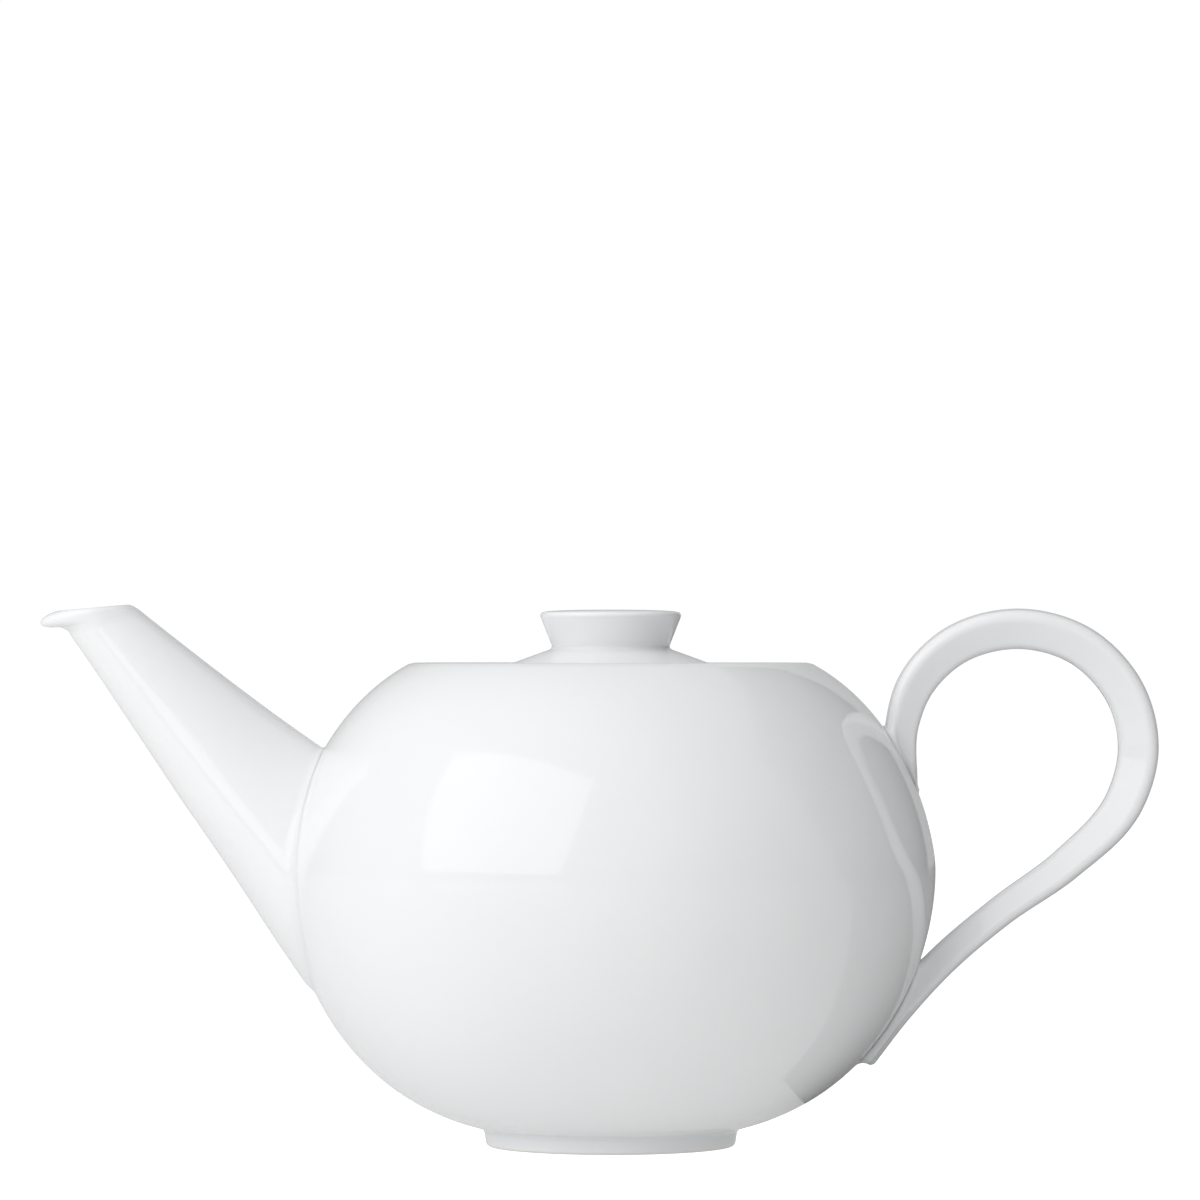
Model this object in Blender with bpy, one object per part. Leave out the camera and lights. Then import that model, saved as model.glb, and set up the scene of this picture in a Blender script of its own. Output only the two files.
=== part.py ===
"""A glazed porcelain teapot, in metres, +Z up: body, spout, handle, lid and knob.

The spout points to -X and the handle to +X. Outlines are (radius, height) pairs
in millimetres about the pot's own axis, which stands at AXIS_X.
"""

import math

import bmesh
import bpy
from mathutils import Vector
from mathutils.geometry import interpolate_bezier

MM = 0.001
AXIS_X = 2.65  # puts the middle of the whole pot, spout to handle, at X = 0
TURNS = 64  # facets round the body
SMALL_TURNS = 48  # facets round the lid and the knob
GAP = 0.3  # between neighbouring pieces

# Body
BODY_R = 80.1
BODY_WIDEST_Z = 68.0
SHOULDER_R, SHOULDER_Z = 49.9, 118.9
RIM_Z = 119.2
WALL = 4.0
LOWER_PULL = (67.5, 12.0), (80.1, 46.2)  # Bezier handles, foot to widest
UPPER_PULL = (80.1, 77.8), (73.0, 106.3)  # and widest to shoulder
BELLY_POINTS = 12  # along each half of the outer side
INSIDE_POINTS = 9
FOOT_R = 31.3
FOOT_HEIGHT = 4.0
FOOT_INNER_R = 27.2
BASE_UNDERSIDE_Z = 2.6
FLOOR_Z = 7.4

# Seat for the lid
GALLERY_R = 46.8
LEDGE_Z = 107.0
LEDGE_UNDERSIDE_Z = 102.6
NECK_R = 39.6

# Lid and knob
LID_R = 46.0
LID_EDGE_Z = 109.9
LID_SKIRT_R = 38.8
LID_SKIRT_DEPTH = 8.6
LID_WALL = 3.6
LID_CROWN_R, LID_CROWN_Z = 15.4, 122.3
LID_PULL = (25.0, 119.0), (37.0, 114.4)  # Bezier handles, crown to edge
VENT_R = 1.6
VENT_AT = 29.0
VENT_CUT_Z = 90.0, 130.0
KNOB_WAIST_R = 14.6
KNOB_TOP_R = 17.5
KNOB_TOP_Z = 132.3

# Strainer: rows of holes through the wall behind the spout
HOLE_R = 2.6
HOLE_PITCH = 9.2
HOLE_ROWS = (3, 4, 3)
HOLE_MID_Z = 71.0
HOLE_ROW_STEP = HOLE_PITCH * 0.9
HOLE_CUT_X = -BODY_R + 16.0, -BODY_R - 6.0  # from inside the pot out through the wall

# Spout stations from inside the body to the mouth, each as the upper and the lower
# point of one ring in the XZ plane, its half width, and how much the ring narrows
# towards its upper side.
SPOUT_RINGS = [
    ((-44.0, 76.0), (-69.8, 36.4), 23.0, 0.40),
    ((-53.0, 84.6), (-74.6, 39.3), 22.6, 0.40),
    ((-60.0, 90.3), (-79.6, 46.2), 21.4, 0.40),
    ((-71.2, 98.2), (-93.0, 66.4), 18.0, 0.38),
    ((-82.8, 106.4), (-105.1, 84.1), 14.8, 0.32),
    ((-97.3, 117.3), (-118.0, 103.4), 11.2, 0.24),
    ((-109.0, 126.4), (-128.6, 119.2), 8.9, 0.16),
    ((-115.2, 131.3), (-133.0, 125.8), 8.0, 0.10),
]
# The lip round the mouth: upper point, lower point and half width as before, then
# how far the beak runs out beyond the lower point, in X and in Z.
LIP_RINGS = [
    ((-116.6, 132.4), (-134.8, 128.4), 8.1, (-3.6, -0.6)),
    ((-117.4, 133.0), (-135.4, 129.8), 8.2, (-5.2, -0.6)),
    ((-118.4, 133.4), (-135.6, 131.2), 8.0, (-4.4, -0.3)),
    ((-119.8, 133.5), (-134.8, 132.3), 7.2, (-2.2, -0.2)),
    ((-121.0, 133.0), (-132.8, 131.9), 5.9, (-0.8, 0.0)),
]
SPOUT_WALL = 3.2
SPOUT_POINTS = 28
BEAK_SHARPNESS = 3

# Handle stations from the shoulder round to the tail: middle of the band in the XZ
# plane and its thickness there.
HANDLE_STATIONS = [
    (72.2, 92.0, 7.2),
    (71.9, 104.0, 8.2),
    (75.0, 113.4, 9.2),
    (84.4, 123.2, 9.8),
    (100.4, 127.6, 10.0),
    (116.4, 123.2, 10.0),
    (127.6, 110.6, 10.0),
    (130.3, 98.0, 10.0),
    (126.6, 84.4, 9.6),
    (112.6, 69.6, 8.4),
    (96.2, 57.8, 7.6),
    (82.2, 46.0, 7.6),
    (70.4, 33.2, 7.6),
    (62.6, 22.8, 7.2),
]
HANDLE_WIDTH = 13.6
HANDLE_INNER_SHARE = 0.42  # width of the inner edge as a share of the outer face
HANDLE_STEPS = 3  # rings between neighbouring stations


def clear_scene():
    for obj in list(bpy.data.objects):
        bpy.data.objects.remove(obj)


def glaze():
    material = bpy.data.materials.new("white_glaze")
    material.use_nodes = True
    shader = material.node_tree.nodes["Principled BSDF"]
    shader.inputs["Base Color"].default_value = (0.86, 0.87, 0.87, 1.0)
    shader.inputs["Roughness"].default_value = 0.08
    shader.inputs["Metallic"].default_value = 0.0
    return material


def finish(name, bm, smooth_degrees=35):
    """Turns the working mesh into one object standing on the pot's axis."""
    bmesh.ops.remove_doubles(bm, verts=bm.verts, dist=1e-7)
    bmesh.ops.recalc_face_normals(bm, faces=bm.faces)
    mesh = bpy.data.meshes.new(name)
    bm.to_mesh(mesh)
    bm.free()
    mesh.shade_smooth()
    mesh.set_sharp_from_angle(angle=math.radians(smooth_degrees))
    obj = bpy.data.objects.new(name, mesh)
    obj.location = (AXIS_X * MM, 0, 0)
    bpy.context.scene.collection.objects.link(obj)
    return obj


def turned(name, outline, turns):
    """Spins an outline that starts and ends on the axis into a closed solid."""
    bm = bmesh.new()
    ring = [bm.verts.new((r * MM, 0, z * MM)) for r, z in outline]
    edges = [bm.edges.new(pair) for pair in zip(ring, ring[1:])]
    bmesh.ops.spin(
        bm,
        geom=ring + edges,
        cent=(0, 0, 0),
        axis=(0, 0, 1),
        angle=2 * math.pi,
        steps=turns,
        use_merge=True,
    )
    return finish(name, bm)


def lofted(name, rings, closed_loop):
    """Bridges rings of equal length; a closed loop makes a tube, otherwise the ends are capped."""
    bm = bmesh.new()
    rows = [[bm.verts.new(point * MM) for point in ring] for ring in rings]
    pairs = list(zip(rows, rows[1:]))
    if closed_loop:
        pairs.append((rows[-1], rows[0]))
    for near, far in pairs:
        for i in range(len(near)):
            j = (i + 1) % len(near)
            bm.faces.new((near[i], near[j], far[j], far[i]))
    if not closed_loop:
        bm.faces.new(rows[0])
        bm.faces.new(rows[-1])
    return finish(name, bm)


def bezier(start, start_handle, end_handle, end, points):
    """Points of one curve stretch as (radius, height) pairs."""
    corners = [Vector((p[0], p[1])) for p in (start, start_handle, end_handle, end)]
    return [(p.x, p.y) for p in interpolate_bezier(*corners, points)]


def arc(centre, radius, from_degrees, to_degrees, points):
    turn = [
        math.radians(from_degrees + (to_degrees - from_degrees) * i / (points - 1))
        for i in range(points)
    ]
    return [
        (centre[0] + radius * math.cos(a), centre[1] + radius * math.sin(a))
        for a in turn
    ]


def pushed_out(outline, distance):
    """The outline moved to its right: away from the axis where it runs upwards."""
    moved = []
    for i, point in enumerate(outline):
        before = Vector(outline[max(i - 1, 0)])
        after = Vector(outline[min(i + 1, len(outline) - 1)])
        along = (after - before).normalized()
        moved.append((point[0] + along.y * distance, point[1] - along.x * distance))
    return moved


def belly(points):
    """Outer side of the body, from the foot up to the shoulder."""
    widest = (BODY_R, BODY_WIDEST_Z)
    foot, shoulder = (FOOT_R - 0.6, FOOT_HEIGHT), (SHOULDER_R, SHOULDER_Z)
    lower = bezier(foot, *LOWER_PULL, widest, points)
    upper = bezier(widest, *UPPER_PULL, shoulder, points)
    return lower + upper[1:]


def make_body():
    outside = belly(BELLY_POINTS)
    foot = [
        (0.0, BASE_UNDERSIDE_Z),
        (FOOT_INNER_R - 1.6, BASE_UNDERSIDE_Z),
        (FOOT_INNER_R, 1.2),
        (FOOT_INNER_R + 0.7, 0.0),
        (FOOT_R - 1.0, 0.0),
        (FOOT_R - 0.2, 0.5),
        (FOOT_R, 1.8),
    ]
    rim = arc((GALLERY_R + 1.9, RIM_Z - 1.9), 1.9, 80, 180, 5)
    seat = [
        (GALLERY_R, LEDGE_Z + 0.8),
        (GALLERY_R - 0.8, LEDGE_Z),
        (NECK_R + 0.8, LEDGE_Z),
        (NECK_R, LEDGE_Z - 0.8),
        (NECK_R, LEDGE_UNDERSIDE_Z + 0.8),
        (NECK_R + 0.8, LEDGE_UNDERSIDE_Z),
        (49.0, LEDGE_UNDERSIDE_Z + 0.4),
        (54.6, LEDGE_UNDERSIDE_Z + 2.6),
    ]
    inside = pushed_out(belly(INSIDE_POINTS), -WALL)[::-1]
    inside = [p for p in inside if FLOOR_Z + 1.5 < p[1] < LEDGE_UNDERSIDE_Z + 1.5]
    floor = [(inside[-1][0] - 9.0, FLOOR_Z + 0.5), (20.0, FLOOR_Z), (0.0, FLOOR_Z)]
    outline = foot + outside + rim + seat + inside + floor
    return turned("pot_body", outline, TURNS)


def body_envelope():
    """The body's outside as one solid, grown by the gap, for trimming what joins it."""
    outline = [(0.0, 1.0)] + pushed_out(belly(BELLY_POINTS), GAP) + [(0.0, RIM_Z)]
    return helper(turned("body_envelope", outline, TURNS))


def helper(obj):
    obj.hide_render = True
    obj.display_type = "WIRE"
    return obj


def cut(obj, cutter):
    boolean = obj.modifiers.new("cut " + cutter.name, "BOOLEAN")
    boolean.operation = "DIFFERENCE"
    boolean.solver = "EXACT"
    boolean.object = cutter


def cut_rod(name, start, end, radius):
    """A round cutter between two points given in the pot's own millimetres."""
    along = (end - start) * MM
    bm = bmesh.new()
    bmesh.ops.create_cone(
        bm,
        cap_ends=True,
        segments=14,
        radius1=radius * MM,
        radius2=radius * MM,
        depth=along.length,
    )
    turn = Vector((0, 0, 1)).rotation_difference(along).to_matrix().to_4x4()
    bmesh.ops.transform(bm, matrix=turn, verts=bm.verts)
    bmesh.ops.translate(bm, vec=(start + end) * MM / 2, verts=bm.verts)
    return helper(finish(name, bm))


def strainer_cutters():
    """Level holes through the wall, in staggered rows, inside the root of the spout."""
    cutters = []
    for row, count in enumerate(HOLE_ROWS):
        z = HOLE_MID_Z + (row - (len(HOLE_ROWS) - 1) / 2) * HOLE_ROW_STEP
        for place in range(count):
            y = (place - (count - 1) / 2) * HOLE_PITCH
            start, end = (Vector((x, y, z)) for x in HOLE_CUT_X)
            cutters.append(cut_rod(f"hole_{row}_{place}", start, end, HOLE_R))
    return cutters


def spout_ring(upper, lower, half_width, narrowing, beak=(0.0, 0.0)):
    """One ring of the spout: an egg between two points of the XZ plane."""
    upper, lower = Vector((upper[0], 0, upper[1])), Vector((lower[0], 0, lower[1]))
    middle, reach = (upper + lower) / 2, (upper - lower) / 2
    ring = []
    for i in range(SPOUT_POINTS):
        a = 2 * math.pi * i / SPOUT_POINTS
        side = half_width * math.sin(a) * (1 - narrowing * math.cos(a))
        point = middle + reach * math.cos(a) + Vector((0, side, 0))
        drawn = max(0.0, -math.cos(a)) ** BEAK_SHARPNESS
        ring.append(point + Vector((beak[0], 0, beak[1])) * drawn)
    return ring


def inner_ring(upper, lower, half_width, narrowing):
    """The ring of the channel inside a spout ring."""
    upper, lower = Vector(upper), Vector(lower)
    inward = (lower - upper).normalized() * SPOUT_WALL
    return spout_ring(
        upper + inward, lower - inward, half_width - SPOUT_WALL, narrowing
    )


def make_spout(envelope):
    outer = [spout_ring(*ring) for ring in SPOUT_RINGS]
    lip = [
        spout_ring(upper, lower, width, SPOUT_RINGS[-1][3], beak)
        for upper, lower, width, beak in LIP_RINGS
    ]
    channel = [inner_ring(*ring) for ring in SPOUT_RINGS[::-1]]
    spout = lofted("spout", outer + lip + channel, closed_loop=True)
    cut(spout, envelope)
    return spout


def handle_section(thickness):
    """Half of the band's section as (across, along Y) pairs, outer face to inner edge."""
    half = HANDLE_WIDTH / 2
    inner = half * HANDLE_INNER_SHARE
    out = thickness / 2
    return [
        (out, half * 0.35),
        (out - 0.25, half * 0.72),
        (out - 1.1, half * 0.94),
        (out - 2.6, half),
        (out - thickness * 0.52, half * 0.82),
        (-out + 1.9, inner * 1.15),
        (-out + 0.6, inner * 0.72),
        (-out, inner * 0.25),
    ]


def handle_path():
    """The stations joined by a smooth curve, as (point, thickness) pairs."""
    points = [Vector((x, z, t)) for x, z, t in HANDLE_STATIONS]
    ends = [2 * points[0] - points[1]] + points + [2 * points[-1] - points[-2]]
    path = []
    for before, start, end, after in zip(ends, ends[1:], ends[2:], ends[3:]):
        stretch = interpolate_bezier(
            start, start + (end - before) / 6, end - (after - start) / 6, end,
            HANDLE_STEPS + 1,
        )
        path += stretch[:-1]
    return path + [points[-1]]


def make_handle(envelope):
    path = handle_path()
    rings = []
    for i, place in enumerate(path):
        along = path[min(i + 1, len(path) - 1)] - path[max(i - 1, 0)]
        along = Vector((along.x, 0, along.y)).normalized()
        outward = Vector((-along.z, 0, along.x))
        centre = Vector((place.x, 0, place.y))
        half = handle_section(place.z)
        whole = half + [(a, -y) for a, y in half[::-1]]
        rings.append([centre + outward * a + Vector((0, y, 0)) for a, y in whole])
    handle = lofted("handle", rings, closed_loop=False)
    cut(handle, envelope)
    return handle


def lid_top(points):
    """The lid's upper side, from the foot of the knob out to its edge."""
    crown, edge = (LID_CROWN_R, LID_CROWN_Z), (LID_R - 0.9, LID_EDGE_Z)
    return bezier(crown, *LID_PULL, edge, points)


def make_lid():
    seat_z = LEDGE_Z + GAP
    top = [(0.0, LID_CROWN_Z)] + lid_top(8)
    edge = [(LID_R, LID_EDGE_Z - 0.9), (LID_R, seat_z + 0.6), (LID_R - 0.6, seat_z)]
    skirt_foot = seat_z - LID_SKIRT_DEPTH
    skirt = [
        (LID_SKIRT_R, seat_z),
        (LID_SKIRT_R - 0.3, skirt_foot + 1.0),
        (LID_SKIRT_R - 1.2, skirt_foot),
        (LID_SKIRT_R - LID_WALL + 0.8, skirt_foot),
        (LID_SKIRT_R - LID_WALL, skirt_foot + 0.8),
    ]
    under = pushed_out(lid_top(7), LID_WALL)
    under = [p for p in under[::-1] if p[0] < LID_SKIRT_R - LID_WALL - 1.0]
    outline = top + edge + skirt + under + [(0.0, LID_CROWN_Z - LID_WALL)]
    lid = turned("lid", outline, SMALL_TURNS)
    low, high = (Vector((0, VENT_AT, z)) for z in VENT_CUT_Z)
    vent = cut_rod("vent", low, high, VENT_R)
    cut(lid, vent)
    return lid


def make_knob():
    foot_z = LID_CROWN_Z + GAP
    outline = [
        (0.0, foot_z),
        (KNOB_WAIST_R + 0.6, foot_z),
        (KNOB_WAIST_R + 0.15, foot_z + 0.35),
        (KNOB_WAIST_R, foot_z + 0.9),
        (KNOB_TOP_R - 0.25, KNOB_TOP_Z - 3.0),
    ]
    outline += arc((KNOB_TOP_R - 1.4, KNOB_TOP_Z - 2.0), 1.4, 0, 80, 5)
    outline += [(10.0, KNOB_TOP_Z - 0.25), (0.0, KNOB_TOP_Z)]
    return turned("lid_knob", outline, SMALL_TURNS)


def main():
    clear_scene()
    envelope = body_envelope()
    body = make_body()
    for cutter in strainer_cutters():
        cut(body, cutter)
    pieces = [
        body,
        make_spout(envelope),
        make_handle(envelope),
        make_lid(),
        make_knob(),
    ]
    white = glaze()
    for piece in pieces:
        piece.data.materials.append(white)


main()
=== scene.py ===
# %% [markdown]
# # A glazed porcelain teapot
#
# The CAD model gives the size, the place and the motion of five pieces: body, spout,
# handle, lid and knob. This script builds the finished, glazed version of each around that
# frame. Its solids are faceted and stand a hair apart; the real pot is one smooth fired
# skin, with soft fillets where spout and handle were stuck on with slip.
#
# Lengths are written in millimetres, as a potter would say them, and turned into metres
# where a vertex is placed.

import math

import bmesh
import bpy
import numpy as np
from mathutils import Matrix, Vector
from mathutils.geometry import interpolate_bezier


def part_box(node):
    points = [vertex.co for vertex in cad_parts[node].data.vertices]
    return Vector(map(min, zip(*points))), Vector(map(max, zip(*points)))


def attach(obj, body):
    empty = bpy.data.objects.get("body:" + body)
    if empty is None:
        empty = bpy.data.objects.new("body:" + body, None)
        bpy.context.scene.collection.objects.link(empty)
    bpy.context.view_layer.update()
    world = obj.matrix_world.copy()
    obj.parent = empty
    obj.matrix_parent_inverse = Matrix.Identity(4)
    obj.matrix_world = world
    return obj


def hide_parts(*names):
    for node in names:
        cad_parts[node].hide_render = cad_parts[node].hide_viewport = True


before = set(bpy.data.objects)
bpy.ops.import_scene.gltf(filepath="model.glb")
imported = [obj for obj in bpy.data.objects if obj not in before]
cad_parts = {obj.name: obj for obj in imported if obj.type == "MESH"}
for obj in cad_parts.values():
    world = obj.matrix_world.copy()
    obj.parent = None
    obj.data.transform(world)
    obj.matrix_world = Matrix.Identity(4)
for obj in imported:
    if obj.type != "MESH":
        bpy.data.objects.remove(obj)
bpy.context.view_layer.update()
MM = 0.001

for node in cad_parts:
    low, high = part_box(node)
    print(node, [round(v / MM, 1) for v in (*low, *high)])

# %% [markdown]
# ## The driving sizes
#
# Everything round about the pot turns on one upright axis. The body's box gives the axis
# and the widest radius; the other sizes are the ones that a template for the throwing
# wheel would show.

# %% Sizes from the frame
body_low, body_high = (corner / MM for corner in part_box("pot_body"))
lid_low, lid_high = (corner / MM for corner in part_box("lid"))
knob_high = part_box("lid_knob")[1] / MM

AXIS_X = (body_low.x + body_high.x) / 2
BODY_R = (body_high.x - body_low.x) / 2
RIM_Z = body_high.z
WIDEST_Z = 68.0
SHOULDER = (49.9, 118.9)
WALL = 4.0
FOOT_R = 31.3
FOOT_INNER_R = 27.2
FOOT_HEIGHT = 4.0
BASE_Z = 2.6
FLOOR_Z = 7.4
GALLERY_R = 46.8
LEDGE_Z = 107.0
LEDGE_UNDER_Z = 102.6
NECK_R = 39.6
WIDEST = (BODY_R, WIDEST_Z)
print("axis", round(AXIS_X, 2), "radius", round(BODY_R, 2), "rim", round(RIM_Z, 2))

# %% [markdown]
# ## Small tools for turned pieces
#
# A potter's template is a flat outline. Here it is a list of (radius, height) pairs. Long
# sweeps are Bezier curves, and corners are rounded with a small arc, because clay and glaze
# never leave a sharp edge. The outline becomes a line of vertices, and the Spin operator
# carries it round the axis.

# %% Outlines
WELD = 1e-6
CREASE = math.radians(50)


def sweep(start, start_handle, end_handle, end, steps):
    """One Bezier stretch of an outline as (radius, height) pairs."""
    corners = [Vector(p) for p in (start, start_handle, end_handle, end)]
    return [(p.x, p.y) for p in interpolate_bezier(*corners, steps + 1)]


def rounded(points, steps=7):
    """A line through (radius, height, rounding) points, with each corner made an arc."""
    line = []
    for i, (r, z, rounding) in enumerate(points):
        here = Vector((r, z))
        if rounding == 0 or i in (0, len(points) - 1):
            line.append((r, z))
            continue
        back = (Vector(points[i - 1][:2]) - here).normalized()
        ahead = (Vector(points[i + 1][:2]) - here).normalized()
        half_turn = (math.pi - back.angle(ahead)) / 2
        reach = rounding * math.tan(half_turn)
        pull = reach - 4 / 3 * math.tan(half_turn / 2) * rounding
        line += sweep(
            here + back * reach, here + back * pull, here + ahead * pull,
            here + ahead * reach, steps,
        )
    return line


def pushed(outline, distance):
    """The outline moved to its right, away from the axis where it runs upwards."""
    points = np.array(outline)
    along = np.gradient(points, axis=0)
    along /= np.linalg.norm(along, axis=1)[:, None]
    moved = points + distance * np.column_stack([along[:, 1], -along[:, 0]])
    return [tuple(p) for p in moved]


# %% The spin
def pick_only(obj):
    """Selects this object alone and makes it the active one."""
    bpy.ops.object.select_all(action="DESELECT")
    obj.select_set(True)
    bpy.context.view_layer.objects.active = obj


def turned(name, outline, steps):
    """Spins an outline that starts and ends on the axis into a closed, smooth solid."""
    mesh = bpy.data.meshes.new(name)
    points = [((AXIS_X + r) * MM, 0, z * MM) for r, z in outline]
    mesh.from_pydata(points, [(i, i + 1) for i in range(len(points) - 1)], [])
    obj = bpy.data.objects.new(name, mesh)
    bpy.context.scene.collection.objects.link(obj)
    pick_only(obj)
    bpy.ops.object.mode_set(mode="EDIT")
    bpy.ops.mesh.select_all(action="SELECT")
    bpy.ops.mesh.spin(
        steps=steps, angle=2 * math.pi, center=(AXIS_X * MM, 0, 0), axis=(0, 0, 1)
    )
    bpy.ops.mesh.select_all(action="SELECT")
    bpy.ops.mesh.remove_doubles(threshold=WELD)
    bpy.ops.mesh.normals_make_consistent(inside=False)
    bpy.ops.object.mode_set(mode="OBJECT")
    bpy.ops.object.shade_smooth_by_angle(angle=CREASE)
    print(name, len(obj.data.polygons), "faces")
    return obj


# %% [markdown]
# ## The body
#
# The outside is two sweeps that meet at the widest place: a fuller one below, a flatter one
# above that runs up to the rim without a neck. The foot ring meets the belly in a small
# cove, which the glaze softens. Inside, the wall follows the outside at an even 4 mm, and
# the rim turns inwards and down into a seat for the lid.

# %% Body outline
def belly_profile(steps):
    """The outside of the belly, from the foot up to the shoulder."""
    lower = sweep((FOOT_R - 1.0, FOOT_HEIGHT), (67.3, 12.0), (BODY_R, 46.2), WIDEST, steps)
    upper = sweep(WIDEST, (BODY_R, 77.8), (73.0, 106.3), SHOULDER, steps)
    return lower + upper[1:]


belly = belly_profile(46)
belly_above_foot = belly[3:]
foot = rounded([
    (0, BASE_Z, 0),
    (FOOT_INNER_R - 0.6, BASE_Z, 1.0),
    (FOOT_INNER_R + 0.4, 0, 0.6),
    (FOOT_R - 0.6, 0, 1.2),
    (FOOT_R, FOOT_HEIGHT + 0.2, 1.8),
    (*belly_above_foot[0], 0),
])[:-1]
print("belly points", len(belly), "foot points", len(foot))

# %% Rim, seat and inside
rim = rounded([
    (*SHOULDER, 0),
    (48.2, RIM_Z + 0.12, 1.6),
    (GALLERY_R, RIM_Z - 0.3, 1.4),
    (GALLERY_R, LEDGE_Z, 1.6),
    (NECK_R, LEDGE_Z, 1.3),
    (NECK_R, LEDGE_UNDER_Z, 1.3),
    (50.0, LEDGE_UNDER_Z, 4.0),
    (55.6, LEDGE_UNDER_Z + 3.4, 0),
])[1:]
inner_wall = [
    p for p in pushed(belly, -WALL)[::-1] if FLOOR_Z + 2 < p[1] < LEDGE_UNDER_Z + 2
]
floor_curve = sweep(
    inner_wall[-1], (inner_wall[-1][0] - 7, inner_wall[-1][1] - 2),
    (26, FLOOR_Z), (14, FLOOR_Z), 10,
)[1:]
floor_middle = [(0, FLOOR_Z)]
body_outline = foot + belly_above_foot + rim + inner_wall + floor_curve + floor_middle
body = turned("glazed_body", body_outline, 240)

# %% [markdown]
# ## The strainer
#
# Before the spout goes on, a potter pierces the wall behind it, so that leaves stay in the
# pot. The cutters are short rods in staggered rows, and one Boolean takes them all.

# %% Cutters and trims
CUT_WELD = 4e-6


def added(operator, name, **settings):
    """Adds a primitive with nothing else selected, and names it."""
    bpy.ops.object.select_all(action="DESELECT")
    operator(**settings)
    bpy.context.object.name = name
    return bpy.context.object


def settle(obj):
    """Applies the object's place and turn to its mesh, so that it sits at the origin."""
    pick_only(obj)
    bpy.ops.object.transform_apply(location=True, rotation=True, scale=True)
    return obj


def joined(parts, name):
    """Makes one object of several."""
    pick_only(parts[0])
    for part in parts:
        part.select_set(True)
    bpy.ops.object.join()
    parts[0].name = name
    return parts[0]


def carve(obj, cutter):
    """Takes the cutter's volume out of the object, then throws the cutter away.

    The cut leaves near doubles along its edge, and vertices midway on an edge that only
    two faces share. Both go, so that the mesh stays closed when it is split in triangles.
    """
    pick_only(obj)
    boolean = obj.modifiers.new("carve", "BOOLEAN")
    boolean.operation = "DIFFERENCE"
    boolean.solver = "EXACT"
    boolean.object = cutter
    bpy.ops.object.modifier_apply(modifier=boolean.name)
    bpy.data.objects.remove(cutter)
    cut = bmesh.new()
    cut.from_mesh(obj.data)
    bmesh.ops.remove_doubles(cut, verts=cut.verts, dist=CUT_WELD)
    bmesh.ops.dissolve_degenerate(cut, edges=cut.edges, dist=CUT_WELD)
    midway = [vert for vert in cut.verts if len(vert.link_edges) == 2]
    bmesh.ops.dissolve_verts(cut, verts=midway)
    cut.to_mesh(obj.data)
    cut.free()
    bpy.ops.object.shade_smooth_by_angle(angle=CREASE)
    print(obj.name, len(obj.data.polygons), "faces after the cut")
    return obj


# %% Pierce the strainer
HOLE_R = 2.6
HOLE_PITCH = 9.2
ROW_PITCH = HOLE_PITCH * 0.9
HOLE_MID_Z = 71.0
HOLES_IN_ROWS = (3, 4, 3)
ROD_LENGTH = 22
rods = []
for row, count in enumerate(HOLES_IN_ROWS):
    for place in range(count):
        rods.append(added(
            bpy.ops.mesh.primitive_cylinder_add,
            "rod",
            vertices=32,
            radius=HOLE_R * MM,
            depth=ROD_LENGTH * MM,
            rotation=(0, math.pi / 2, 0),
            location=(
                (AXIS_X - BODY_R + WALL) * MM,
                (place - (count - 1) / 2) * HOLE_PITCH * MM,
                (HOLE_MID_Z + (row - 1) * ROW_PITCH) * MM,
            ),
        ))
body = carve(body, settle(joined(rods, "strainer_rods")))

# %% [markdown]
# ## Rolling a sheet into a tube
#
# Spout and handle are long pieces whose section changes along the way. Both start as a flat
# grid: one side of the grid runs along the piece and the other side wraps round it. Each
# vertex is then put where a small function says, and the two long edges are merged, as when
# a sheet of clay is rolled round a former.

# %% Rolled sheets
def rolled(name, rows, around, place):
    """A grid of rows by `around` quads, wrapped by place(row, turn), both from 0 to 1."""
    sheet = added(
        bpy.ops.mesh.primitive_grid_add,
        name,
        x_subdivisions=rows,
        y_subdivisions=around,
        size=1,
        location=(0, 0, 0),
    )
    flat = np.empty(len(sheet.data.vertices) * 3)
    sheet.data.vertices.foreach_get("co", flat)
    flat = flat.reshape(-1, 3) + 0.5
    points = place(flat[:, 0], flat[:, 1])
    sheet.data.vertices.foreach_set("co", (points * MM).ravel())
    pick_only(sheet)
    bpy.ops.object.mode_set(mode="EDIT")
    bpy.ops.mesh.select_all(action="SELECT")
    bpy.ops.mesh.remove_doubles(threshold=WELD)
    bpy.ops.mesh.fill_holes(sides=0)
    bpy.ops.mesh.select_all(action="SELECT")
    bpy.ops.mesh.normals_make_consistent(inside=False)
    bpy.ops.object.mode_set(mode="OBJECT")
    print(name, len(sheet.data.polygons), "faces")
    return sheet


def through(stations, spacing, measured=2):
    """Rows at least this close along a soft curve through the stations.

    The first `measured` columns are lengths that say how far apart two stations are.
    """
    s = np.array(stations, float)
    gaps = np.linalg.norm(np.diff(s[:, :measured], axis=0), axis=1)
    reach = np.concatenate([[0], np.cumsum(gaps)])
    slope = np.gradient(s, reach, axis=0)
    rows = []
    for i, gap in enumerate(gaps):
        steps = max(1, math.ceil(gap / spacing))
        t = np.arange(steps)[:, None] / steps
        rows.append(
            (2 * t**3 - 3 * t**2 + 1) * s[i]
            + (t**3 - 2 * t**2 + t) * gap * slope[i]
            + (3 * t**2 - 2 * t**3) * s[i + 1]
            + (t**3 - t**2) * gap * slope[i + 1]
        )
    return np.concatenate(rows + [s[-1:]])


# %% [markdown]
# ## Fillets of slip
#
# Spout and handle are stuck on with slip, and the glaze rounds the seam further. Both
# surfaces run into each other over a few millimetres. For every vertex near the belly the
# crease is found first, by going straight on along the piece's own surface. The vertex then
# moves to a curve that leaves the piece on one side of the crease and lands flat on the
# belly on the other.

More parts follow.
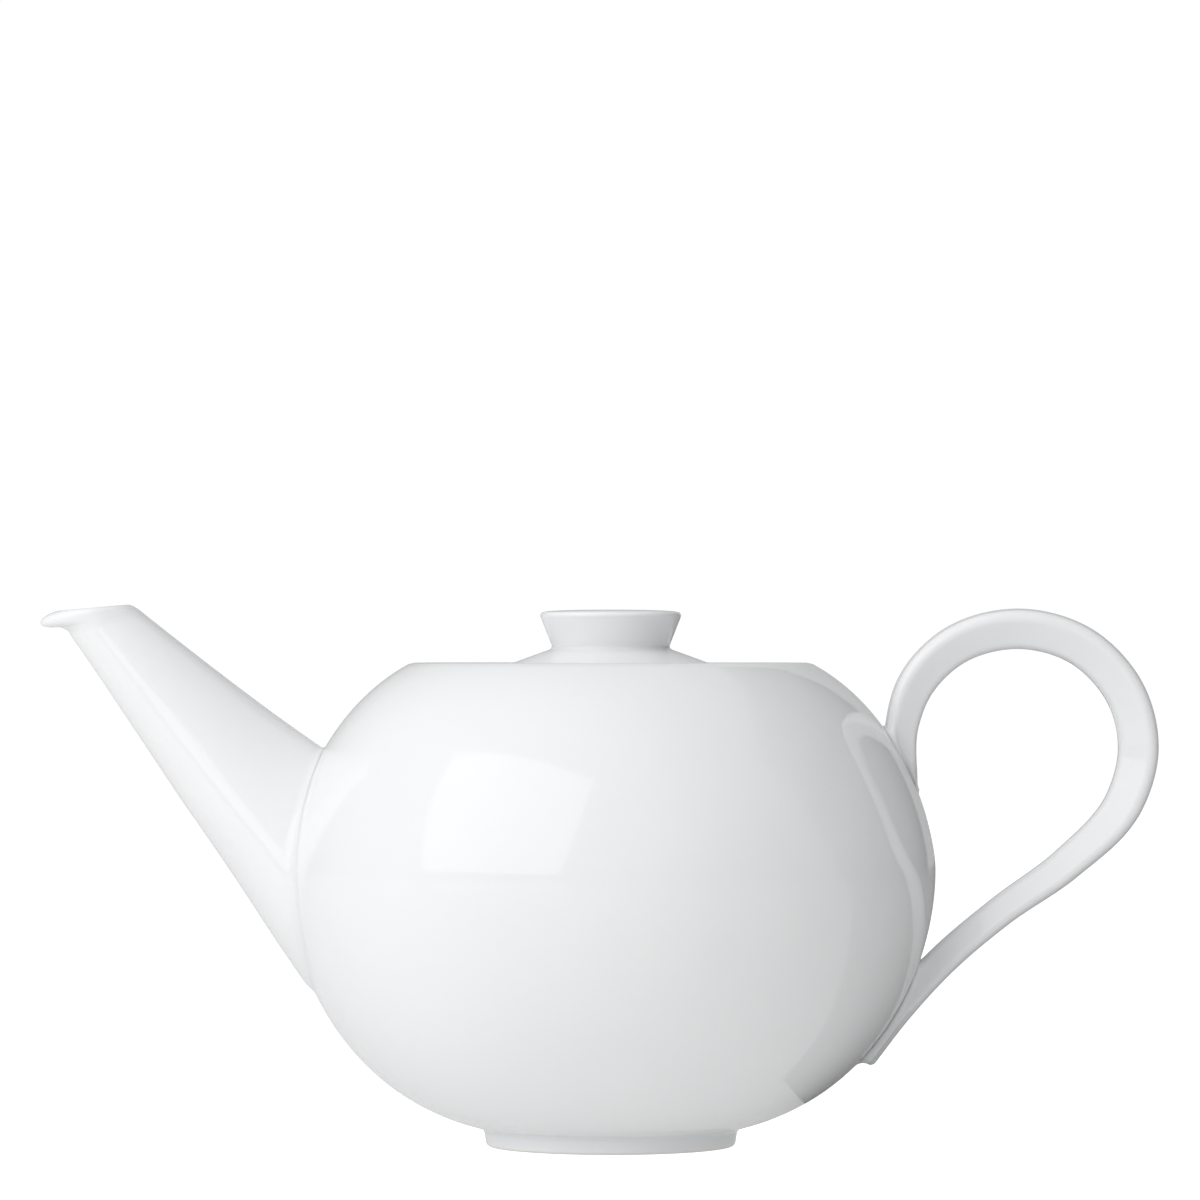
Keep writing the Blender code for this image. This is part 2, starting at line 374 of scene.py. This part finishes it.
# %% The nearest place on the belly
belly_line = np.array(belly_profile(150))
belly_along = np.gradient(belly_line, axis=0)
belly_along /= np.linalg.norm(belly_along, axis=1)[:, None]
belly_out = np.column_stack([belly_along[:, 1], -belly_along[:, 0]])


def on_belly(points):
    """For points in mm: the nearest place on the belly, its outward normal, the height."""
    x, y, z = points[:, 0] - AXIS_X, points[:, 1], points[:, 2]
    flat = np.column_stack([np.hypot(x, y), z])
    start, step = belly_line[:-1], np.diff(belly_line, axis=0)
    best = np.full(len(points), np.inf)
    foot, out = np.zeros_like(flat), np.zeros_like(flat)
    for i in range(len(start)):
        t = np.clip((flat - start[i]) @ step[i] / (step[i] @ step[i]), 0, 1)[:, None]
        place = start[i] + t * step[i]
        away = np.linalg.norm(flat - place, axis=1)
        nearer = away < best
        best[nearer] = away[nearer]
        foot[nearer] = place[nearer]
        out[nearer] = ((1 - t) * belly_out[i] + t * belly_out[i + 1])[nearer]
    out /= np.linalg.norm(out, axis=1)[:, None]
    height = ((flat - foot) * out).sum(axis=1)
    radial = np.column_stack([x, y]) / np.maximum(flat[:, :1], 1e-9)
    place = np.column_stack([
        AXIS_X + radial[:, 0] * foot[:, 0], radial[:, 1] * foot[:, 0], foot[:, 1]
    ])
    normal = np.column_stack([radial * out[:, :1], out[:, 1]])
    return place, normal, height


# %% The fillet
FILLET_DEEPEST = -12
LEAST_DROP = 0.25
FLANK_ONSET = 1.5
SKIRT_WIDTH = 1.5
SKIRT_SLOPE = 0.04


def unit(vectors):
    """The vectors, row by row, at length 1."""
    return vectors / np.maximum(np.linalg.norm(vectors, axis=1), 1e-9)[:, None]


def fillet_to_belly(obj, tight, wide):
    """Bends the piece near the belly into a fillet, tight in the pot's own plane and wide
    on the flanks. Both are reaches in mm.
    """
    count = len(obj.data.vertices)
    points, normals = np.empty(count * 3), np.empty(count * 3)
    obj.data.vertices.foreach_get("co", points)
    obj.data.vertices.foreach_get("normal", normals)
    points, normals = points.reshape(-1, 3) / MM, normals.reshape(-1, 3)
    _, belly_normal, height = on_belly(points)
    reach = tight + (wide - tight) * np.abs(normals[:, 1:2]) ** FLANK_ONSET
    facing = (normals * belly_normal).sum(axis=1)[:, None]
    inward = unit(facing * normals - belly_normal)
    drop = np.maximum(-(inward * belly_normal).sum(axis=1), LEAST_DROP)
    outward = unit(normals - facing * belly_normal)
    left = (height / drop)[:, None]
    bent = (left < reach)[:, 0] & (height > FILLET_DEEPEST)
    crease = points + inward * left
    t = np.clip((reach - left) / (2 * reach), 0, 1)
    curve = crease - inward * reach * (1 - t) ** 2 + outward * reach * t**2
    lift = (1 - t[:, 0]) ** 2 * reach[:, 0] * drop
    beyond = np.maximum(-reach - left, 0)[:, 0]
    skirt = np.minimum(beyond, SKIRT_WIDTH)
    curve += outward * skirt[:, None]
    lift -= SKIRT_SLOPE * skirt + np.maximum(beyond - SKIRT_WIDTH, 0) * drop
    place, normal, _ = on_belly(curve)
    moved = place + normal * lift[:, None]
    points[bent] = moved[bent]
    obj.data.vertices.foreach_set("co", (points * MM).ravel())
    obj.data.update()
    print(obj.name, int(bent.sum()), "vertices in the fillet")


def shaded_as_one(obj, depth):
    """Gives the last of the fillet the belly's own normals, so that no line shows there."""
    count = len(obj.data.vertices)
    points, normals = np.empty(count * 3), np.empty(count * 3)
    obj.data.vertices.foreach_get("co", points)
    obj.data.vertices.foreach_get("normal", normals)
    _, belly_normal, height = on_belly(points.reshape(-1, 3) / MM)
    own = np.clip(height / depth, 0, 1)[:, None]
    own = own * own * (3 - 2 * own)
    soft = unit(normals.reshape(-1, 3) * own + belly_normal * (1 - own))
    obj.data.normals_split_custom_set_from_vertices(soft)


# %% [markdown]
# ## The spout
#
# A straight cone, wider below than above, that leaves the belly low down and ends in a level
# mouth. The front of the lip is drawn out into a beak, which cuts the stream off cleanly.
# Each station gives the upper and the lower point of one ring in the plane of the pot, half
# its width, how much it narrows towards its upper side, and how far the beak is drawn.

# %% Spout stations
SPOUT_WALL = 3.2
SPOUT_POINTS = 128
spout_stations = [
    (-44.0, 76.0, -69.8, 36.4, 23.0, 0.40, 0, 0),
    (-53.0, 84.6, -74.6, 39.3, 22.6, 0.40, 0, 0),
    (-60.0, 90.3, -79.6, 46.2, 21.4, 0.40, 0, 0),
    (-71.2, 98.2, -93.0, 66.4, 18.0, 0.38, 0, 0),
    (-82.8, 106.4, -105.1, 84.1, 14.8, 0.32, 0, 0),
    (-97.3, 117.3, -118.0, 103.4, 11.2, 0.24, 0, 0),
    (-109.0, 126.4, -128.6, 119.2, 8.9, 0.16, 0, 0),
    (-115.2, 131.3, -133.0, 125.8, 8.0, 0.10, -0.2, 0),
]
lip_stations = [
    (-115.9, 131.9, -133.8, 126.9, 8.0, 0.10, -0.3, 0.2),
    (-116.3, 132.2, -134.2, 127.6, 8.05, 0.10, -1.6, 0.3),
    (-116.7, 132.5, -134.7, 128.4, 8.1, 0.10, -3.8, -0.5),
    (-117.2, 132.8, -135.2, 129.2, 8.15, 0.10, -5.1, -0.9),
    (-117.9, 133.2, -135.5, 130.3, 8.2, 0.10, -5.2, -0.9),
    (-118.8, 133.5, -135.4, 131.4, 7.9, 0.10, -4.0, -0.6),
    (-119.8, 133.5, -134.8, 132.1, 7.2, 0.10, -2.2, -0.2),
    (-121.0, 133.0, -132.8, 131.7, 5.9, 0.10, -0.8, 0),
]


def channel_station(station):
    """The ring of the channel inside a ring of the spout."""
    upper, lower = Vector(station[:2]), Vector(station[2:4])
    inward = (lower - upper).normalized() * SPOUT_WALL
    upper, lower = upper + inward, lower - inward
    return (*upper, *lower, station[4] - SPOUT_WALL, station[5], 0, 0)


# %% Roll the spout
outside_rows = through(spout_stations, 0.9, measured=4)
lip_rows = through([spout_stations[-1]] + lip_stations, 0.35, measured=4)[1:]
channel = [channel_station(s) for s in spout_stations[::-1]]
channel_rows = through([lip_stations[-1]] + channel, 2.0, measured=4)[1:]
spout_rows = np.concatenate([outside_rows, lip_rows, channel_rows, outside_rows[:1]])
print("spout rows", len(outside_rows), len(lip_rows), len(channel_rows))


def spout_place(row, turn):
    s = spout_rows[np.rint(row * (len(spout_rows) - 1)).astype(int)]
    a = 2 * math.pi * turn
    middle, reach = (s[:, :2] + s[:, 2:4]) / 2, (s[:, :2] - s[:, 2:4]) / 2
    side = s[:, 4] * np.sin(a) * (1 - s[:, 5] * np.cos(a))
    drawn = np.maximum(0, -np.cos(a)) ** 3
    x = middle[:, 0] + reach[:, 0] * np.cos(a) + s[:, 6] * drawn
    z = middle[:, 1] + reach[:, 1] * np.cos(a) + s[:, 7] * drawn
    return np.column_stack([AXIS_X + x, side, z])


spout = rolled("glazed_spout", len(spout_rows) - 1, SPOUT_POINTS, spout_place)

# %% [markdown]
# ## The handle
#
# One strap, bent into an ear. Its outer face is wide with soft corners, and the flanks
# draw in towards a narrow inner edge, so it sits in the fingers like a wedge. The upper end
# drops straight down onto the shoulder; the lower end lies along the belly as a long tail
# that ends bluntly near the foot.

# %% Handle stations and section
HANDLE_WIDTH = 13.6
STRAP_DEPTH = 10
STRAP_POINTS = 96
TAIL_ROUND = 1.6
TAIL_TURNS = np.radians((15, 30, 45, 60, 75, 90))
DENSE_BELOW = 11
handle_stations = [
    (72.2, 88.0, 7.0),
    (71.9, 104.0, 8.2),
    (75.0, 113.4, 9.2),
    (84.4, 123.2, 9.8),
    (100.4, 127.6, 10.0),
    (116.4, 123.2, 10.0),
    (127.6, 110.6, 10.0),
    (130.3, 98.0, 10.0),
    (126.6, 84.4, 9.6),
    (112.6, 69.6, 8.4),
    (96.2, 57.8, 7.6),
    (82.2, 46.0, 7.6),
    (70.4, 33.2, 7.6),
    (62.6, 22.8, 7.2),
]


def handle_section(points):
    """Evenly spaced (outward, sideways) places round a strap of STRAP_DEPTH."""
    outer, half = STRAP_DEPTH / 2, HANDLE_WIDTH / 2
    corners = [(outer, 0, 0), (4.3, half, 2.2), (-outer, 3.0, 2.4), (-outer, 0, 0)]
    side = rounded(corners, steps=9)
    ring = np.array(side + [(a, -y) for a, y in side[-2:0:-1]] + side[:1])
    reach = np.concatenate([[0], np.cumsum(np.linalg.norm(np.diff(ring, axis=0), axis=1))])
    even = np.linspace(0, reach[-1], points + 1)
    return np.column_stack([np.interp(even, reach, ring[:, k]) for k in (0, 1)])


# %% Roll the handle
strap = handle_section(STRAP_POINTS)
handle_rows = through(handle_stations, 0.45)
middle_line = np.column_stack([
    AXIS_X + handle_rows[:, 0], 0 * handle_rows[:, 0], handle_rows[:, 1]
])
# Only the fillets need every row; a third of them is enough in the free loop.
close = on_belly(middle_line)[2] < DENSE_BELOW
handle_rows = handle_rows[close | (np.arange(len(close)) % 3 == 0)]
handle_rows = np.column_stack([handle_rows, np.ones(len(handle_rows))])
tail_along = unit(handle_rows[-1:, :2] - handle_rows[-2:-1, :2])[0]
tail_x, tail_z, tail_depth = handle_stations[-1]
for turn in TAIL_TURNS:
    less = TAIL_ROUND * (1 - math.cos(turn))
    x, z = np.array((tail_x, tail_z)) + tail_along * TAIL_ROUND * math.sin(turn)
    tail = [x, z, tail_depth - 2 * less, 1 - 2 * less / HANDLE_WIDTH]
    handle_rows = np.vstack([handle_rows, tail])
handle_along = unit(np.gradient(handle_rows[:, :2], axis=0))
handle_along[-len(TAIL_TURNS) - 1:] = tail_along
print("handle rows", len(handle_rows))


def handle_place(row, turn):
    i = np.rint(row * (len(handle_rows) - 1)).astype(int)
    section = strap[np.rint(turn * STRAP_POINTS).astype(int)]
    out = section[:, :1] * handle_rows[i, 2:3] / STRAP_DEPTH
    across = np.column_stack([-handle_along[i, 1], handle_along[i, 0]])
    x, z = (handle_rows[i, :2] + across * out).T
    return np.column_stack([AXIS_X + x, section[:, 1] * handle_rows[i, 3], z])


handle = rolled("glazed_handle", len(handle_rows) - 1, STRAP_POINTS, handle_place)

# %% [markdown]
# Both pieces still run on into the belly. After the fillets are bent, a core that lies a
# little under the glazed skin takes away what is inside, so nothing shows in the pot when
# the lid is off.

# %% Fillets and trims
CORE_DEPTH = 1.2


def core():
    """A closed solid that lies CORE_DEPTH under the belly's skin."""
    skin = pushed(belly, -CORE_DEPTH)[::6]
    return turned("core", [(0, skin[0][1])] + skin + [(0, skin[-1][1])], 96)


for piece, tight, wide in ((spout, 1.0, 3.0), (handle, 1.8, 4.2)):
    fillet_to_belly(piece, tight, wide)
    carve(piece, core())
    shaded_as_one(piece, 0.5)

# %% [markdown]
# ## Lid and knob
#
# The lid is a shallow dome sunk into the rim. Its flat edge rests on the seat, and the
# skirt below keeps it in place while pouring. A small vent lets air in behind the tea; its
# rim is flared, as the glaze leaves it. The knob is a small disc on a waist.

# %% Lid
LID_R = (lid_high.x - lid_low.x) / 2
SEAT_Z = LEDGE_Z + 0.3
CROWN_Z = lid_high.z
SKIRT_R = 38.8
SKIRT_FOOT_Z = lid_low.z
lid_top = sweep((14.6, 122.66), (25.0, 119.0), (37.0, 114.4), (LID_R - 0.9, 109.9), 40)
lid_edge = rounded([
    (*lid_top[-1], 0),
    (LID_R, 109.5, 0.7),
    (LID_R, SEAT_Z, 0.8),
    (SKIRT_R, SEAT_Z, 0.4),
    (SKIRT_R - 0.3, SKIRT_FOOT_Z, 1.2),
    (SKIRT_R - 3.6, SKIRT_FOOT_Z, 1.2),
    (SKIRT_R - 3.8, 109.5, 2.5),
    (SKIRT_R - 6.0, 111.9, 0),
])[1:]
under = [p for p in pushed(lid_top, 3.6)[::-1] if p[0] < SKIRT_R - 6.2]
crown, hollow = [(0, CROWN_Z), (14.0, CROWN_Z)], [(0, CROWN_Z - 3.8)]
lid_outline = crown + lid_top + lid_edge + under + hollow
lid = turned("glazed_lid", lid_outline, 200)

# %% Vent
VENT_R = 1.6
VENT_AT = 29.0
VENT_LOW_Z = 90
VENT_HIGH_Z = 119.4
vent_line = rounded([
    (0, VENT_LOW_Z, 0),
    (VENT_R, VENT_LOW_Z, 0.01),
    (VENT_R, 116.9, 1.6),
    (VENT_R + 3.0, VENT_HIGH_Z, 0),
]) + [(0, VENT_HIGH_Z)]
vent = turned("vent_cutter", vent_line, 40)
vent.location = (0, VENT_AT * MM, 0)
lid = carve(lid, settle(vent))

# %% Knob
KNOB_FOOT_Z = 121.7
knob_side = rounded([
    (17.2, KNOB_FOOT_Z, 0),
    (14.3, 122.82, 0.9),
    (17.72, 131.5, 0.9),
    (15.6, 131.95, 0),
], steps=10)
knob_crown = sweep(knob_side[-1], (11.0, 132.3), (6.0, knob_high.z), (0, knob_high.z), 12)[1:]
knob_outline = [(0, KNOB_FOOT_Z), (15.0, KNOB_FOOT_Z)] + knob_side + knob_crown
knob = turned("glazed_knob", knob_outline, 200)

# %% [markdown]
# ## Which piece stands for which node
#
# The pot and its two handles ride on one body; lid and knob ride on the other, so the lid
# lifts off with its knob.

# %% Ride and replace
pieces = {
    "pot_body": (body, "pot"),
    "spout": (spout, "pot"),
    "handle": (handle, "pot"),
    "lid": (lid, "lid"),
    "lid_knob": (knob, "lid"),
}
for node, (piece, rides_on) in pieces.items():
    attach(piece, rides_on)
    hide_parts(node)
    print(node, len(piece.data.polygons), "faces ride on", rides_on)

# %% [markdown]
# ## Writing shader maths as sums
#
# A small class wraps a socket, so that a material reads like the formula it stands for.

# %% Sockets that add up
class Socket:
    """An output of a node, with the sums that the materials need."""

    def __init__(self, tree, output):
        self.tree, self.output = tree, output

    def _math(self, operation, a, b=None):
        values = {0: a} if b is None else {0: a, 1: b}
        return add_node(self.tree, "ShaderNodeMath", {"operation": operation}, values)

    def __add__(self, other):
        return self._math("ADD", self, other)

    __radd__ = __add__

    def __mul__(self, other):
        return self._math("MULTIPLY", self, other)

    __rmul__ = __mul__

    def __sub__(self, other):
        return self._math("SUBTRACT", self, other)

    def __rsub__(self, other):
        return self._math("SUBTRACT", other, self)

    def __truediv__(self, other):
        return self._math("DIVIDE", self, other)

    def clamped(self):
        return self._math("MINIMUM", self._math("MAXIMUM", self, 0.0), 1.0)

    def above(self, low, high):
        """0 below low, 1 above high, straight in between."""
        return ((self - low) / (high - low)).clamped()


def add_node(tree, kind, settings=None, values=None, output=0):
    """One node: its settings first, then values or links into its sockets."""
    node = tree.nodes.new(kind)
    for name, value in (settings or {}).items():
        setattr(node, name, value)
    for name, value in (values or {}).items():
        if isinstance(value, Socket):
            tree.links.new(value.output, node.inputs[name])
        else:
            node.inputs[name].default_value = value
    return Socket(tree, node.outputs[output])


def mixed(factor, a, b):
    """A colour mixed from two colours, each a tuple or a socket."""
    return add_node(
        factor.tree, "ShaderNodeMix", {"data_type": "RGBA"}, {0: factor, 6: a, 7: b}, output=2
    )


# %% [markdown]
# ## Porcelain
#
# White porcelain under a clear glaze: a bright, very slightly cool body and a hard mirror
# on top. A dead smooth shader looks like plastic, so three kinds of unevenness go into the
# normal: a slow wave from turning and firing, a fine orange peel in the glaze, and a few
# pinholes. The glaze collects in every seam, where it turns a little darker and bluer; each
# piece carries that as a value per vertex. The ring the pot stands on is wiped dry before
# firing and stays matte.

# %% Where the glaze collects
def pooled(piece, how_much):
    """Stores how_much(points in mm) on every vertex, for the glaze to read."""
    points = np.empty(len(piece.data.vertices) * 3)
    piece.data.vertices.foreach_get("co", points)
    amounts = np.clip(how_much(points.reshape(-1, 3) / MM), 0, 1)
    field = piece.data.attributes.new("pool", "FLOAT", "POINT")
    field.data.foreach_set("value", amounts)
    print(piece.name, "carries", round(float(amounts.mean()), 3), "of pooled glaze on average")


def near(values, centre, width):
    """1 at the centre, fading out over the width."""
    return np.exp(-(((values - centre) / width) ** 2))


def radius(p):
    """How far points are from the pot's axis."""
    return np.hypot(p[:, 0] - AXIS_X, p[:, 1])


pooled(body, lambda p: near(p[:, 2], FOOT_HEIGHT, 1.6) + (
    near(p[:, 2], LEDGE_Z, 1.2) * (radius(p) < GALLERY_R + 1)
))
pooled(spout, lambda p: near(on_belly(p)[2], 0, 1.6))
pooled(handle, lambda p: near(on_belly(p)[2], 0, 1.3))
pooled(lid, lambda p: near(radius(p), 15.6, 1.2))
pooled(knob, lambda p: near(p[:, 2], 122.6, 0.9))

# %% Glazed porcelain
porcelain = bpy.data.materials.new("glazed_porcelain")
porcelain.use_nodes = True
tree = porcelain.node_tree
spot = add_node(tree, "ShaderNodeTexCoord", output=3)
height = add_node(tree, "ShaderNodeSeparateXYZ", values={0: spot}, output=2)


def noise(scale, detail=2.0):
    return add_node(
        tree,
        "ShaderNodeTexNoise",
        values={"Vector": spot, "Scale": scale, "Detail": detail, "Roughness": 0.5},
    )


pool = add_node(tree, "ShaderNodeAttribute", {"attribute_name": "pool"}, output=2)
unglazed = 1 - height.above(0.0003, 0.0007)
tone = noise(14.0).above(0.35, 0.65)
cells = add_node(
    tree,
    "ShaderNodeTexVoronoi",
    values={"Vector": spot, "Scale": 95.0, "Randomness": 1.0},
)
specks = 1 - cells.above(0.018, 0.03)
white = mixed(tone, (0.846, 0.853, 0.860, 1), (0.868, 0.872, 0.876, 1))
white = mixed(pool * 0.5, white, (0.800, 0.812, 0.820, 1))
white = mixed(specks * 0.12, white, (0.70, 0.69, 0.66, 1))
white = mixed(unglazed, white, (0.80, 0.775, 0.735, 1))
gloss = 0.045 + noise(60.0) * 0.03 + unglazed * 0.5
waves = noise(22.0) * 0.00055
peel = noise(620.0, 3.0) * 0.0000045
pits = specks * -0.00001
relief = add_node(
    tree,
    "ShaderNodeBump",
    values={"Height": waves + peel + pits, "Distance": 1.0, "Strength": 1.0},
)
shader = tree.nodes["Principled BSDF"]
shader.inputs["IOR"].default_value = 1.52
shader.inputs["Subsurface Weight"].default_value = 0.12
shader.inputs["Subsurface Radius"].default_value = (1.0, 0.9, 0.8)
shader.inputs["Subsurface Scale"].default_value = 0.0025
for socket, value in (("Base Color", white), ("Roughness", gloss), ("Normal", relief)):
    tree.links.new(value.output, shader.inputs[socket])
for piece, _ in pieces.values():
    piece.data.materials.clear()
    piece.data.materials.append(porcelain)
print("porcelain uses", len(tree.nodes), "nodes")

# %% [markdown]
# ## Table, studio and camera
#
# The pot stands on a lit white table. A softbox on the left, in front, models the belly and
# mirrors in it as a tall window; two larger ones fill in and don't mirror. The right side
# falls off into grey, because a dark card stands there and a grey one lies on the table.
# Table and sky look brighter to the camera than they light the pot, so that it stands
# before plain white. The camera is level, as high as the knob, with a long lens.

# %% Table
TABLE_LIGHT = 0.37
TABLE_LOOK = 0.70
table = added(
    bpy.ops.mesh.primitive_circle_add, "table", vertices=96, radius=3.0, fill_type="NGON"
)
table_white = bpy.data.materials.new("table_white")
table_white.use_nodes = True
table_shader = table_white.node_tree.nodes["Principled BSDF"]
table_shader.inputs["Base Color"].default_value = (0.5, 0.5, 0.5, 1)
table_shader.inputs["Roughness"].default_value = 0.6
table_shader.inputs["Emission Color"].default_value = (1, 1, 1, 1)
straight_look = add_node(table_white.node_tree, "ShaderNodeLightPath")
table_glow = TABLE_LIGHT + straight_look * TABLE_LOOK
table_white.node_tree.links.new(table_glow.output, table_shader.inputs["Emission Strength"])
table.data.materials.append(table_white)

# %% Studio
scene = bpy.context.scene
scene.view_settings.view_transform = "Standard"
studio = bpy.data.worlds.new("studio")
studio.use_nodes = True
scene.world = studio
sky = studio.node_tree
seen = add_node(sky, "ShaderNodeLightPath")
dim, bright = (0.475, 0.477, 0.482, 1), (1.02, 1.02, 1.02, 1)
sky.links.new(mixed(seen, dim, bright).output, sky.nodes["Background"].inputs["Color"])
LOOK_AT = Vector((0, 0, 70 * MM))


def softbox(name, azimuth, elevation, distance, width, height, radiance):
    """A lit rectangle that faces the pot; azimuth 0 is in front and grows to the left."""
    a, e = math.radians(azimuth), math.radians(elevation)
    away = Vector((-math.sin(a) * math.cos(e), -math.cos(a) * math.cos(e), math.sin(e)))
    data = bpy.data.lights.new(name, "AREA")
    data.shape = "RECTANGLE"
    data.size, data.size_y = width, height
    data.energy = radiance * width * height * math.pi
    light = bpy.data.objects.new(name, data)
    light.location = LOOK_AT + away * distance
    light.rotation_euler = away.to_track_quat("Z", "Y").to_euler()
    scene.collection.objects.link(light)
    return light


def card(name, location, rotation, width, height, grey):
    """A matte card that the pot mirrors but the camera doesn't see."""
    sheet = added(
        bpy.ops.mesh.primitive_plane_add, name, size=1, location=location, rotation=rotation
    )
    sheet.scale = (width, height, 1)
    settle(sheet)
    paper = bpy.data.materials.new(name)
    paper.use_nodes = True
    paper.node_tree.nodes["Principled BSDF"].inputs["Base Color"].default_value = (
        grey, grey, grey, 1
    )
    sheet.data.materials.append(paper)
    sheet.visible_camera = False
    return sheet


softbox("key_window", 43, 29, 1.5, 1.5, 1.30, 1.04)
for fill in (
    softbox("left_fill", 52, 11, 2.2, 3.2, 2.6, 0.80),
    softbox("top_fill", -10, 74, 1.8, 2.2, 2.2, 0.66),
):
    fill.visible_glossy = False
CARD_TURN = 0.49
towards_pot = Vector((-math.cos(CARD_TURN), -math.sin(CARD_TURN), -0.36))
leaning = towards_pot.to_track_quat("Z", "Y").to_euler()
card("dark_card", (1.33, 0.71, 0.62), leaning, 2.2, 2.4, 0.16)
card("table_end", (1.305, 1.47, 0.002), (0, 0, 0), 2.5, 3.0, 0.40)

# %% Camera
CAMERA_AWAY = 1.58
CAMERA_Z = 124
camera_data = bpy.data.cameras.new("camera")
camera_data.lens = 192
camera_data.sensor_width = 36
camera_data.shift_y = 0.0361
camera = bpy.data.objects.new("camera", camera_data)
camera.location = (0, -CAMERA_AWAY, CAMERA_Z * MM)
camera.rotation_euler = (math.pi / 2, 0, 0)
scene.collection.objects.link(camera)
scene.camera = camera
